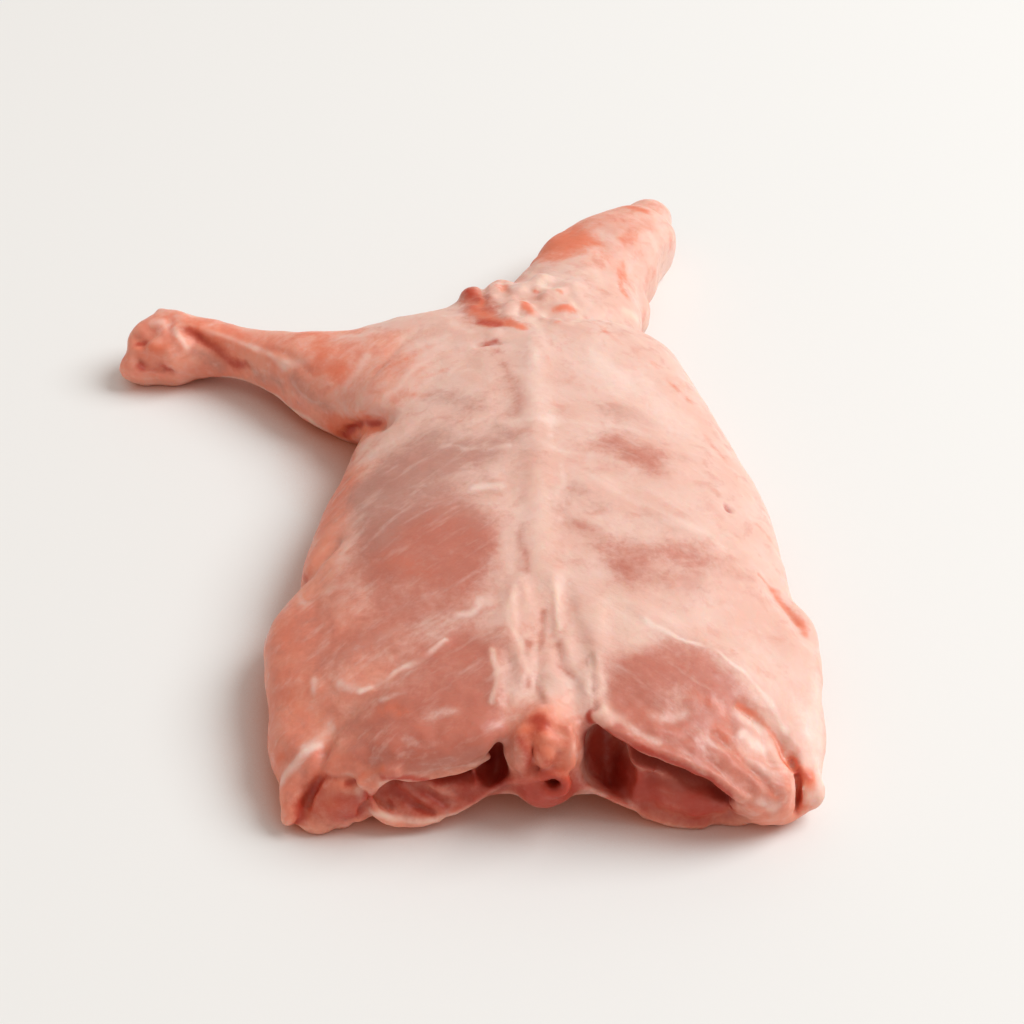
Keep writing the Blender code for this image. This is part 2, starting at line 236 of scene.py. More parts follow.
    # the ridges of the sawn backbone's arch
    lump(shape, (3, 3, 37), (6, 4.5, 8))
    band(shape, ((-9, 7, 44), (-9.5, 3, 41), (-9, 0.5, 36), (-8, 1, 31)), (2.6, 3, 2.8, 2.4))
    band(shape, ((-1.5, 7, 46), (-0.5, 2.5, 43), (0, -0.5, 38.5), (-1.5, -1, 33.5)), (2.6, 3, 3, 2))
    band(shape, ((7, 8, 46), (8.5, 4, 42), (8.5, 0.5, 38), (9, -0.5, 32)), (3, 3.2, 3, 2.6))


def carved_meat(shape):
    """The dark slits under the flaps, beside the backbone and in the corners."""
    # under the left flap, and two under the right one
    crevice(shape, ((-59, -3, 24), (-56, -3, 28), (-51, -2, 25.5), (-44, 1, 22.5), (-33, 3, 20.5),
                    (-27, 5, 21)), 1.9, (0, 7, 2))
    crevice(shape, ((28, 4, 34), (38, 1, 30.5), (48, -2, 26), (58, -4.5, 21.5), (67, -6.5, 15)),
            2.4, (0, 8, 2.5))
    crevice(shape, ((27, 2, 38.5), (34, -2, 36.5), (43, -4, 32.8), (52, -7, 29.3), (60, -8.5, 26.3),
                    (67, -10, 21)), 2.9, (0, 8, 1.6))
    # beside the left corner's lobe, and the gap between it and the lip
    crevice(shape, ((-83, 0, 23), (-85.5, 1, 17), (-88, -1, 13), (-89.5, -4, 10), (-91, -7, 6)),
            1.1, (0.5, 3, 0))
    band(shape, ((-70.5, -9, 10), (-69.5, -4, 4), (-68, 0, 1)), (1.8, 2.6, 2.6))
    band(shape, ((-66.5, -9, 8), (-66, -4, 5), (-65, 0, 1)), (2, 3, 3))
    # the hollows of the left opening
    band(shape, ((-60.5, -1, 19), (-59.5, 0, 14), (-56, -1, 10.5)), (1.8, 2.2, 1.4))
    # the folds and the wedge of the right corner
    crevice(shape, ((72, 23, 39), (77, 21, 36), (82, 17, 32.5), (87, 11, 29), (90, 7, 26)),
            1.3, (0.6, 1.5, -3.4))
    crevice(shape, ((91, 7, 25), (92, 3, 20), (92.3, 0, 15), (91.5, -3, 10)), 1.4, (-0.6, 6, 0))
    # the slot down the left hole, the right hole and the canal
    band(shape, ((-17, 4, 35), (-17.5, 3, 28), (-18.5, 4, 22)), (2, 2.6, 2.4))
    band(shape, ((16, 8, 41), (18, 4, 34), (21, 4, 24), (27, 3, 18.5)), (2.2, 3.8, 4.5, 3))
    band(shape, ((2.5, -10, 28), (2.5, 5, 27)), (2.9, 2.3))
    # between the ridges of the arch
    crevice(shape, ((-5, 1, 43), (-4.8, -1.5, 38), (-4.5, -1, 34)), 1.2, (0, 2.5, -0.5))
    crevice(shape, ((3.6, 0, 43), (4, -2, 39)), 1.1, (0, 2, -0.5))


flesh = remade(new_piece("kid_shoulder_flesh", added_meat))
slits = remade(new_piece("slits", carved_meat), SLIT_VOXEL)
carve = flesh.modifiers.new("carve", "BOOLEAN")
carve.operation = "DIFFERENCE"
carve.solver = "EXACT"
carve.object = slits
finished(flesh)
bpy.data.objects.remove(slits)
remade(flesh)


def relaxed(mesh, points, passes, hold):
    """Points eased towards their neighbours. Hold is from 0, free, to 1, fixed."""
    ends = np.empty(len(mesh.edges) * 2, np.int32)
    mesh.edges.foreach_get("vertices", ends)
    one, two = ends.reshape(-1, 2).T
    count = np.bincount(ends, minlength=len(points))[:, None]
    share = 0.5 * (1 - hold)[:, None]
    for _ in range(passes):
        total = np.empty_like(points)
        for axis in range(3):
            total[:, axis] = np.bincount(one, points[two, axis], len(points))
            total[:, axis] += np.bincount(two, points[one, axis], len(points))
        points = points + (total / count - points) * share
    return points


def wander(points, size, seed):
    """Smooth chance values from -1 to 1 that change over about this many millimetres."""
    field = np.random.default_rng(seed).uniform(-1, 1, (64, 64, 64))
    scaled = points / size + 512
    cells = np.floor(scaled).astype(int)
    share = scaled - cells
    share = share**2 * (3 - 2 * share)
    total = np.zeros(len(points))
    for corner in itertools.product((0, 1), repeat=3):
        weight = np.prod(np.where(corner, share, 1 - share), axis=1)
        total += weight * field[tuple(((cells + corner) % 64).T)]
    return total


def strayed(points, size, seeds):
    """Three wanders side by side, as a step in a chance direction for each point."""
    return np.stack([wander(points, size, seed) for seed in seeds], axis=1)


def distance_to_path(points, path):
    """How far each point is from a path. A path given as (x, y) is measured in plan."""
    path = np.array(path, float)
    points = points[:, : path.shape[1]]
    nearest = np.full(len(points), np.inf)
    for start, end in zip(path, path[1:]):
        step = end - start
        share = np.clip((points - start) @ step / (step @ step), 0, 1)
        nearest = np.minimum(nearest, np.linalg.norm(points - start - share[:, None] * step, axis=1))
    return nearest


def stroke(points, facing_up, path, width):
    """1 on a path and fading to 0 about 1.7 widths away. A path in plan stays on the back."""
    reach = np.exp(-((distance_to_path(points, path) / width) ** 2))
    return reach * facing_up if len(path[0]) == 2 else reach


# Paths of marks that are both shaped and coloured: the ridges of fat beside the backbone,
# the furrows between them, the gaps between the strips of muscle in the left opening, and
# single lines on the loins, the right flank and its corner.
RIDGES = (
    ((-20, 42, 51), (-17, 32, 50), (-18, 19, 48)),
    ((-13, 59, 52), (-10, 44, 51), (-7, 32, 50)),
    ((-12, 74, 53), (-13, 63, 53)),
    ((-7, 74, 52), (-6, 61, 51)),
    ((5, 76, 53), (4, 60, 51), (5, 53, 50)),
    ((8, 46, 50), (11, 34, 48), (15, 22, 48)),
    ((19, 38, 51), (20, 26, 48), (21, 12, 48)),
    ((-13, 29, 47), (-10, 19, 46)),
)
FURROWS = (
    ((-2, 61, 50), (-1, 46, 49), (-3, 31, 47), (0, 17, 49)),
    ((5, 45, 49), (6, 35, 48), (9, 30, 46)),
    ((-7, 45, 51), (-7, 26, 48)),
)
STRIP_GAPS = (
    ((-56, 2, 16), (-46, 0, 11), (-41, -2, 10)),
    ((-46, 3, 18), (-36, 0, 13)),
    ((-33, 2, 18), (-26, 0, 14)),
)
RIGHT_FURROW = ((17, 39, 50), (17, 20, 48), (19, 10, 45))
LEFT_SEAM = ((-62, 31, 41), (-52, 36, 45), (-40, 42, 47))
LEFT_LOIN_EDGE = ((-68, 29, 40), (-59, 33, 43), (-47, 40, 47), (-37, 48, 49))
RIGHT_SHEET_EDGE = ((31, 67, 51), (41, 55, 50), (50, 50, 48), (64, 45, 46), (74, 38, 42), (83, 29, 36),
                    (91, 17, 28))
FLANK_CREASE = ((85, 97, 38), (94, 94, 33))
FLANK_BULGE = ((91, 93, 33), (95, 85, 31), (99, 77, 30))
CORNER_CREASE = ((70, 24, 39), (80, 23, 32), (86, 17, 27), (90, 3, 25))
CORNER_FOLD = ((68, 6, 34), (76, -3, 29), (83, -7, 23))

# Each is (width, rise, path).
CREASES = (
    # the armpit
    (2.2, -2.2, ((-89, 225, 9), (-86, 223, 12), (-80, 218, 19), (-77, 213, 24), (-73, 206, 30),
                 (-69, 202, 34))),
    # the left notch, the left seam and the crease of the left corner
    (2.2, -1.4, ((-100, 103, 22), (-93, 104, 33), (-84, 116, 39))),
    (1.2, -0.6, LEFT_SEAM),
    # furrows between the folds of fat beside the backbone
    *zip((1.3, 1.2, 1.2), (-0.7, -0.7, -0.5), FURROWS),
    (1.2, -0.8, RIGHT_FURROW),
    (1.2, -0.5, ((-10, 66, 53), (-10, 46, 51))),
    (1.2, -0.5, ((2, 72, 52), (2, 48, 49))),
    # round the left corner's lobe and over it
    (2, -1.6, ((-83, 0, 22), (-85, 1, 16), (-88, -1, 14), (-89, -4, 12), (-91, -6, 8))),
    (1.6, -1.8, ((-86, 1, 19), (-82, 1, 24), (-77, -2, 27), (-70, -3, 29))),
    (1.5, -3.2, ((-71, -4, 27), (-66, -3, 25), (-63, -5, 20), (-68, -4, 12), (-73, -7, 11))),
    # between the strips of muscle in the left opening
    *zip((1.2, 1.2, 1.2), (-1.4, -1.4, -1.2), STRIP_GAPS),
    # the right flank, its bulge and the folds of its corner
    (1.2, -0.6, FLANK_CREASE),
    (1.5, -1.2, FLANK_BULGE),
    (1.4, -1.2, CORNER_CREASE),
    (1.3, -0.9, CORNER_FOLD),
    (1.5, -1.3, ((61, 10, 39), (65, 7, 37), (68, 5, 36), (72, 1, 33), (77, -2, 29))),
    (1.5, -1.2, ((79, 21, 33), (81, 16, 31), (81.5, 10, 30), (82, 4, 29))),
    (1.6, -1.0, ((54, 3, 37), (60, -1, 35), (66, -5, 32), (73, -8, 27))),
    # the shank's tendon groove and the pits of the knee
    (2.6, -1.1, ((-165, 277, 29), (-158, 275, 27), (-152, 271, 24), (-145, 267, 18), (-136, 262, 19))),
    (2.6, -2.2, ((-188, 277, 25), (-184, 274, 24))),
    (2.4, -2.2, ((-187, 269, 19), (-182, 265, 16), (-178, 267, 18))),
    (2, -2.0, ((-179, 264, 14), (-174, 267, 16), (-170, 263, 13))),
    (1.6, -1.0, ((-174, 288, 31), (-174, 280, 30), (-172, 274, 27), (-170, 269, 22))),
    (2.4, -0.8, ((-128, 262), (-116, 252), (-104, 240))),
    # the shoulder blade's edge and the neck's root
    (2.6, -0.8, ((-74, 226), (-64, 242), (-55, 256))),
    (2.6, -0.9, ((2, 262), (20, 262), (36, 270))),
    # between the knots of fat at the neck's root
    (1.6, -1.2, ((-26, 297, 42), (-25, 288, 45), (-26, 276, 46), (-30, 268, 46))),
    (1.4, -1.2, ((-17, 299, 43), (-16, 288, 46), (-10, 280, 47), (-9, 272, 48), (-8, 262, 50))),
    (1.6, -2.0, ((-27, 237, 50), (-22, 238, 51), (-17, 237, 52))),
)
FOLDS = (
    # fat beside the backbone and the edges of the loins
    *zip((1.8, 1.8, 1.6, 1.6, 1.8, 1.6, 1.8, 1.6), (0.4, 0.45, 0.35, 0.35, 0.45, 0.4, 0.5, 0.4), RIDGES),
    (1.2, 0.4, RIGHT_SHEET_EDGE),
    (1.4, 0.5, LEFT_LOIN_EDGE),
    # the shank and the knee
    (2.6, 0.8, ((-159, 279, 30), (-151, 275, 30), (-143, 271, 29), (-133, 264, 29), (-123, 256, 30),
                (-116, 250, 31))),
    (2.2, 0.9, ((-171, 281, 30), (-168, 273, 28), (-164, 270, 25))),
)
# Each is (middle, radius, rise).
BUMPS = (
    # small knots between the glands at the root of the neck
    ((-12, 283, 47), 5, 1.0), ((0, 286, 47), 4, 1.2), ((10, 284, 48), 4, 0.9),
    ((8.5, 256.5, 50), 4.5, 1.0), ((3, 297, 46), 7, 1.0), ((20, 280, 45), 7, 0.8),
    ((-20, 246, 50), 5, 1.0), ((3, 260, 50), 4, 0.8), ((2, 277, 49), 4, 0.8),
    # the heads of the knee joint, its cut edge and its narrower underside
    ((-179, 283, 31), 5.5, 1.6), ((-179, 271.5, 24.5), 5, 1.8), ((-165, 274, 29), 7, 1.0),
    ((-171, 289, 31), 6, 1.0), ((-191, 293, 24), 13, -2.6), ((-196.5, 282, 16), 5, -2.2),
    ((-184, 256, 5), 21, -6.0),
    # the neck's tip and its left edge
    ((60, 392, 26), 13, 2.0), ((72, 352, 12), 24, -4.0), ((1, 336, 29), 6, 1.5),
    # hips, the neck's left edge and the top of the leg
    ((-107, 84, 20), 26, 2.2), ((105, 82, 24), 14, 1.8), ((7, 350, 30), 14, 2.2),
    ((-98, 270, 26), 18, 1.4),
    # lobes of fat at the right corner
    ((71, 14, 37), 8, 1.2), ((69, 1, 34), 7, 1.2), ((79, -5, 24), 8, 1.2),
    # the vertebra's joints
    ((-6, 8, 43), 4.5, 1.0), ((7, 9, 43), 4.5, 1.2), ((0, 3, 44), 3.5, 0.8),
    # the small spot at the right edge and blots on the left rump
    ((76, 131, 44), 3.4, -1.6), ((-86, 38, 34), 5, 0.7), ((-75, 35, 39), 5, 0.8),
)


def worked(points, normals):
    """How far the skin stands out at each point, in millimetres."""
    facing_up = np.clip(normals[:, 2] * 2.5 - 0.3, 0, 1)
    height = np.zeros(len(points))
    ragged = np.clip(1 - (points[:, 1] - RAGGED_REACH) / RAGGED_REACH, 0, 1)
    from_knots = np.hypot(points[:, 0] - KNOTS_MIDDLE[0], points[:, 1] - KNOTS_MIDDLE[1])
    knotted = np.exp(-((from_knots / KNOTS_REACH) ** 2))
    # marks are bent a little off their paths, most of all among the knots
    bent = points + 1.6 * strayed(points, 11, (1, 2, 3))
    bent += 1.4 * knotted[:, None] * strayed(points, 4, (8, 9, 10))
    for width, rise, path in CREASES + FOLDS:
        height += rise * stroke(bent, facing_up, path, width)
    for middle, radius, rise in BUMPS:
        away = np.linalg.norm(bent - np.array(middle), axis=1) / radius
        height += rise * np.clip(1 - away**2, 0, 1) ** 1.5
    # soft swells, then the grain of bare meat and of knotted fat
    height += 0.7 * wander(points, 19, 4) + 0.32 * wander(points, 8, 5)
    height += (0.16 + 0.3 * ragged + 0.6 * knotted) * wander(points, 3.6, 6)
    height += 0.4 * knotted * wander(points, 6, 7)
    return height


# The solid's edges are eased, but the fine lips of the cut end keep most of theirs.
points = vertex_array(flesh.data) / MM - BACKBONE_AT_CUT
points = relaxed(flesh.data, points, 10, np.clip(0.8 - points[:, 1] / 40, 0, 0.8))
flesh.data.vertices.foreach_set("co", ((points + BACKBONE_AT_CUT) * MM).ravel())
flesh.data.update()
normals = vertex_array(flesh.data, "normals")
points += normals * worked(points, normals)[:, None]
points = relaxed(flesh.data, points, 1, np.zeros(len(points)))
# Its own weight presses the underside flat: what looks down and is close to the table.
table = -BACKBONE_AT_CUT[2] + OVER_TABLE
pressed = np.clip((-normals[:, 2] - 0.75) * 6, 0, 1) * np.clip((table + 5 - points[:, 2]) / 3, 0, 1)
points[:, 2] = np.maximum(points[:, 2] - PRESSED_BELOW * pressed, table)
flesh.data.vertices.foreach_set("co", ((points + BACKBONE_AT_CUT) * MM).ravel())
flesh.data.update()

# The skin is thinned where it is flat, most of all underneath.
flesh.data.calc_loop_triangles()
thinner = flesh.modifiers.new("thin", "DECIMATE")
thinner.ratio = SKIN_TRIANGLES / len(flesh.data.loop_triangles)
finished(flesh)
points = vertex_array(flesh.data) / MM - BACKBONE_AT_CUT


# ---------------------------------------------------------------- what shows on the flesh
# Where the knife and the skinning have left bare muscle, film, fat and blood, and where shade
# and highlights are painted on. Each layer is a list of strokes, as (width, strength, path).

LEAN = (
    # the broad muscles: left side, left loin, right side and right loin
    (13, 0.95, ((-60, 107), (-48, 110), (-36, 103))),
    (13, 0.85, ((-62, 91), (-45, 88), (-32, 84))),
    (12, 0.6, ((-55, 72), (-34, 66))),
    (16, 0.5, ((-88, 78), (-84, 50), (-64, 58))),
    (12, 0.6, ((-64, 144), (-50, 156))),
    (12, 0.7, ((-62, 120), (-38, 122))),
    (13, 0.8, ((-42, 38), (-25, 42))),
    (14, 0.9, ((-56, 19), (-28, 19))),
    (12, 0.9, ((-57, 2, 40), (-47, -1, 40), (-27, 2, 42))),
    (11, 0.5, ((32, 165), (46, 158))),
    (13, 0.75, ((34, 30), (49, 38), (62, 28))),
    (11, 0.8, ((32, 17), (46, 11), (67, 17))),
    (8, 0.7, ((31, 5), (47, 2), (66, -2), (80, -5))),
    # the left corner and the upper arm
    (9, 0.95, ((-82, 0, 14), (-72, -5, 17))),
    (8, 0.5, ((-93, 20, 26), (-88, 8, 27))),
    (8, 0.35, ((-101, 246, 37), (-90, 238, 37))),
    # the glands at the neck's root, the neck's left and two places beside the ribs
    (7.5, 0.95, ((-33, 288, 44), (-27, 278, 47), (-26, 264, 48), (-20, 257, 50))),
    (7, 0.6, ((-4, 340, 30), (2, 352, 30))),
    (7, 0.45, ((22, 100), (30, 96))),
    (6, 0.4, ((8, 118), (10, 108))),
    # left side: the dark oval behind the shoulder, its core and what lies below it
    (12, 0.75, ((-60, 96, 49), (-52, 104, 51), (-37, 109, 53), (-27, 99, 53), (-34, 87, 52))),
    (7, 0.5, ((-42, 108, 53), (-29, 102, 53))),
    (10, 0.45, ((-56, 67, 47), (-45, 59, 48))),
    (9, 0.4, ((-81, 51, 38), (-62, 52, 45))),
    # beside the backbone
    (3.4, 0.5, ((-15, 219, 52), (-12, 203, 51), (-10, 183, 52))),
    (2.2, 0.5, ((-10, 110, 54), (-7, 85, 54))),
    # darker red along the furrows between the folds of fat, partly painted shade
    *zip((2, 2, 2), (0.7, 0.7, 0.6), FURROWS),
    # right side: behind the shoulder and over the ribs
    (8, 0.5, ((30, 162, 52), (40, 155, 53), (45, 148, 52))),
    (8, 0.55, ((31, 86, 53), (40, 93, 53), (52, 98, 51))),
    (4, 0.4, ((15, 110, 54), (19, 107, 54))),
    (7, 0.4, ((61, 96, 49), (77, 91, 44))),
    (9, 0.5, ((36, 80), (58, 82))),
    # loins
    (9, 0.8, ((-32, 44, 47), (-26, 30, 49), (-24, 17, 47))),
    (9, 0.6, ((-42, 5, 44), (-33, 2, 43), (-24, 6, 45))),
    (12, 0.5, ((-60, 5, 40), (-53, 11, 42))),
    (8, 0.4, ((-74, 21, 34), (-70, 8, 35))),
    (9, 0.75, ((32, 27, 48), (41, 33, 49), (55, 31, 46), (63, 27, 44))),
    (7, 0.5, ((29, 18, 46), (34, 13, 45))),
    (6, 0.5, ((34, 3, 42), (48, 5, 41), (58, 5, 38))),
    (5, 0.5, ((26, 4, 43), (28, 16, 24))),
    # the flaps along the cut
    (6, 0.6, ((-52, -3, 36), (-38, -1, 34), (-24, 2, 38))),
    (6, 0.5, ((41, -1, 40), (55, -2, 35), (66, -6, 29))),
    # cut faces: the two openings and the sawn backbone
    (9, 0.7, ((-52, 3, 14), (-40, 4, 14), (-30, 5, 15))),
    (11, 0.8, ((34, 4, 20), (46, 0, 16), (58, -4, 14), (68, -6, 10))),
    (12, 0.65, ((-8, 4, 38), (6, 4, 38), (0, 0, 26), (0, 0, 16))),
)
MAUVE = (
    # film over dark muscle: left shoulder and back, backbone, right back
    (14, 0.95, ((-62, 135), (-46, 152), (-26, 160))),
    (12, 0.85, ((-66, 140), (-50, 146))),
    (9, 0.25, ((-40, 200), (-22, 186))),
    (7, 0.2, ((-4, 152), (-4, 122))),
    (12, 0.6, ((-66, 122), (-45, 124))),
    (12, 0.7, ((-70, 143, 45), (-60, 160, 47), (-46, 173, 48))),
    (9, 0.4, ((-42, 140, 52), (-29, 125, 53), (-25, 112, 54))),
    (8, 0.5, ((-59, 117, 50), (-64, 103, 48))),
    (6, 0.35, ((-45, 204, 46), (-30, 194, 50))),
    (4, 0.45, ((-18, 176, 52), (-12, 165, 53))),
    (4, 0.4, ((-24, 148, 53), (-18, 132, 54))),
    (8, 0.4, ((29, 187, 51), (41, 186, 49))),
    (6, 0.35, ((13, 130, 55), (23, 121, 54))),
    (8, 0.3, ((43, 114, 52), (62, 108, 49))),
    # darker film along the right furrow, partly painted shade
    (1.2, 0.6, RIGHT_FURROW),
    # shank and upper arm
    (5, 0.6, ((-160, 270, 22), (-155, 269, 20), (-150, 268, 17))),
    (5, 0.6, ((-132, 260, 19), (-125, 253, 20), (-120, 249, 21))),
    (6, 0.6, ((-112, 241, 26), (-106, 234, 26), (-101, 229, 24), (-96, 227, 22))),
)
# Pale film and fat, with painted highlights on some crests: the left loin's edge, the left corner's roll
# and lobe, the shank's ridges and the muscle of the right opening.
PALE = (
    # broad film on the right shoulder, between the shoulders and on the right side
    (15, 0.6, ((26, 222), (44, 206), (58, 186))),
    (9, 0.5, ((-2, 215), (0, 180))),
    (12, 0.35, ((35, 135), (60, 125))),
    # wisps of film over the back
    (2.6, 0.7, ((-24, 158, 53), (-14, 160, 53))),
    (2.8, 0.8, ((-26, 134, 53), (-15, 134, 54))),
    (2.4, 0.5, ((-41, 164, 50), (-32, 159, 52), (-24, 163, 52))),
    (2.6, 0.5, ((-18, 180, 51), (-4, 178, 54), (11, 178, 52), (29, 177, 51), (45, 174, 49))),
    (2.4, 0.6, ((2, 159, 55), (10, 158, 53), (20, 153, 53))),
    (2.6, 0.4, ((12, 150, 54), (23, 134, 54), (38, 124, 53), (53, 115, 51), (67, 111, 48))),
    (2.6, 0.45, ((9, 116, 54), (26, 114, 53), (49, 113, 52), (64, 111, 49))),
    (1.6, 0.5, ((-9, 143, 55), (-9, 116, 54))),
    (1.8, 0.6, ((8, 147, 54), (7, 122, 54), (5, 101, 54))),
    (2.6, 0.7, ((-3, 234, 54), (-3, 221, 54))),
    (2.2, 0.6, ((4, 181, 53), (5, 163, 54))),
    (2, 0.4, ((-53, 137, 50), (-43, 140, 51), (-33, 143, 52))),
    (2.6, 0.5, ((-16, 105, 54), (-13, 83, 53))),
    (3.4, 0.35, ((51, 80, 50), (66, 84, 47), (82, 88, 41))),
    (1.4, 0.6, ((68, 107, 47), (81, 102, 41), (96, 94, 32))),
    (2.6, 0.35, ((22, 232, 51), (35, 216, 49), (48, 213, 46))),
    (2.4, 0.35, ((-47, 124, 52), (-33, 127, 53), (-21, 121, 54))),
    (2, 0.4, ((-66, 129, 47), (-53, 120, 51))),
    (3, 0.4, ((-44, 218, 47), (-31, 220, 49), (-22, 210, 51))),
    (3, 0.3, ((12, 73, 51), (22, 81, 52))),
    # left loin, hip and corner, with painted highlights along the left loin's edge and the left corner's
    # roll
    (1.6, 0.8, LEFT_LOIN_EDGE),
    (2.6, 0.7, ((-87, 42, 36), (-87, 35, 35))),
    (3.4, 0.6, ((-75, 35, 40), (-71, 32, 40))),
    (2.2, 0.6, ((-59, 24, 43), (-51, 27, 45))),
    (4, 0.5, ((-43, 13, 44), (-34, 14, 46))),
    (3, 0.3, ((-49, 4, 43), (-38, 1, 42))),
    (2.6, 0.7, ((-32, 62, 50), (-28, 63, 50), (-24, 69, 51))),
    (2.6, 0.6, ((-96, 93, 31), (-93, 82, 35))),
    (5, 0.3, ((-76, 49, 41), (-56, 56, 46))),
    (2.4, 0.8, ((-97, 4, 18), (-94, 6, 23), (-91, 10, 26), (-88, 13, 28), (-84, 15, 29))),
    (3.2, 0.6, ((-87, 16, 28), (-83, 19, 30), (-79, 21, 32))),
    # the edge of the right sheet, the loin and the corner
    (1.4, 1, RIGHT_SHEET_EDGE),
    (3.4, 0.5, ((40, 13, 45), (50, 15, 43))),
    (4, 0.7, ((71, 21, 38), (78, 20, 31))),
    (2.6, 0.6, ((31, 6, 44), (40, 3, 42))),
    (3.6, 0.85, ((73, 13, 35), (81, 11, 29))),
    (3, 0.5, ((74, 2, 31), (78, 0, 29))),
    (6, 0.4, ((74, 61, 42), (87, 47, 37), (91, 33, 32))),
    (6, 0.7, ((97, 27, 28), (100, 16, 24), (101, 8, 18))),
    (3, 0.6, ((77, -8, 23), (83, -8, 19))),
    (2.4, 0.5, ((56, 8, 40), (63, 4, 37))),
    (5, 0.6, ((101, 66, 27), (102, 45, 27), (100, 22, 24))),
    # knee, shank and shoulder, with painted highlights along the shank's ridges
    (3, 0.55, ((-182, 283, 31), (-176, 283, 32))),
    (2.6, 0.65, ((-170, 279, 30), (-168, 273, 29), (-164, 270, 25))),
    (2.4, 0.65, ((-158, 278, 30), (-151, 275, 30), (-143, 271, 29), (-133, 265, 29), (-123, 256, 30),
                 (-116, 249, 31))),
    (4, 0.6, ((-115, 248, 30), (-110, 248, 33), (-104, 248, 36))),
    (1.8, 0.4, ((-112, 241, 25), (-107, 235, 25), (-102, 230, 23))),
    (3, 0.6, ((-86, 226, 33), (-82, 234, 38), (-77, 240, 42))),
    (3, 0.4, ((-95, 258, 38), (-87, 263, 38))),
    (4, 0.5, ((-53, 242, 47), (-42, 248, 48))),
    (3, 0.5, ((-67, 210, 42), (-53, 226, 47))),
    (4, 0.5, ((-39, 258, 48), (-31, 250, 49))),
    # painted highlights on the lobe of the left corner and on the muscle of the right opening
    (2.6, 0.35, ((-80, -4, 18), (-75, -4, 22))),
    (3.4, 0.35, ((39, 3, 22), (49, -2, 22))),
    # neck
    (4.4, 0.6, ((31, 349, 40), (38, 339, 39))),
    (3.6, 0.6, ((56, 353, 35), (59, 347, 30))),
    (4, 0.5, ((60, 371, 35), (63, 362, 33))),
    # sawn backbone
    (2.6, 0.5, ((3, 0, 42), (5, -1, 39))),
    (1.4, 0.6, ((-8, -2, 28), (0, -3, 33), (6, -2, 35))),
    (1.8, 0.6, ((9, 1, 42), (12, 3, 26), (13, 2, 21))),
)
CREAM = (
    # fat along the backbone and its folds
    (6, 0.5, ((-2, 141, 56), (-1, 110, 55), (-1, 87, 54))),
    (5, 0.5, ((2, 79, 54), (3, 68, 51))),
    *zip((1.8, 2, 2, 1.8, 1.8, 1.8, 2.2, 2), (0.8, 0.7, 0.6, 0.6, 0.8, 0.6, 0.7, 0.6), RIDGES),
    (8, 0.55, ((17, 59, 52), (27, 68, 51), (33, 50, 50))),
    (5, 0.4, ((-2, 24, 47), (5, 12, 47))),
    (4, 0.5, ((23, 9, 46), (29, 6, 44))),
    (4, 0.4, ((-24, 68, 51), (-17, 73, 52))),
    # the lips of the two openings
    (1.8, 1, ((-67, -4, 24), (-65, -5, 15), (-57, -6, 11), (-46, -5, 9), (-31, -2, 10), (-22, 2, 13),
              (-16, 2, 20))),
    (1.4, 0.6, ((-51, 2, 19), (-42, 1, 15), (-35, -1, 12))),
    (1.6, 0.6, ((-39, 2, 18), (-28, 2, 16))),
    (1.3, 0.9, ((14, 2, 18), (24, 1, 15), (32, -1, 12))),
    (2.2, 0.7, ((-23, 9, 21), (-20, 9, 18))),
    # the neck's root and knots
    (4, 0.7, ((-4, 317, 37), (3, 293, 48), (10, 283, 50))),
    (4, 0.6, ((20, 307, 43), (28, 312, 41), (30, 297, 42))),
    (5, 0.9, ((41, 282, 37), (46, 284, 33))),
    (2.6, 0.8, ((3, 293, 48), (4, 277, 47), (2, 263, 47))),
    (2.6, 0.7, ((15, 278, 48), (18, 268, 47), (14, 253, 51))),
    (2.6, 0.7, ((-4, 259, 49), (-1, 251, 51), (0, 242, 52))),
    (2.4, 0.6, ((-11, 261, 49), (-12, 266, 50))),
    (2.4, 0.6, ((-6, 284, 48), (-9, 281, 47))),
    (3, 0.5, ((28, 263, 45), (46, 255, 43))),
    # underside of the leg
    (2.4, 0.8, ((-147, 269, 9), (-135, 262, 11), (-125, 255, 11), (-113, 242, 10), (-104, 233, 10),
                (-95, 228, 8))),
)
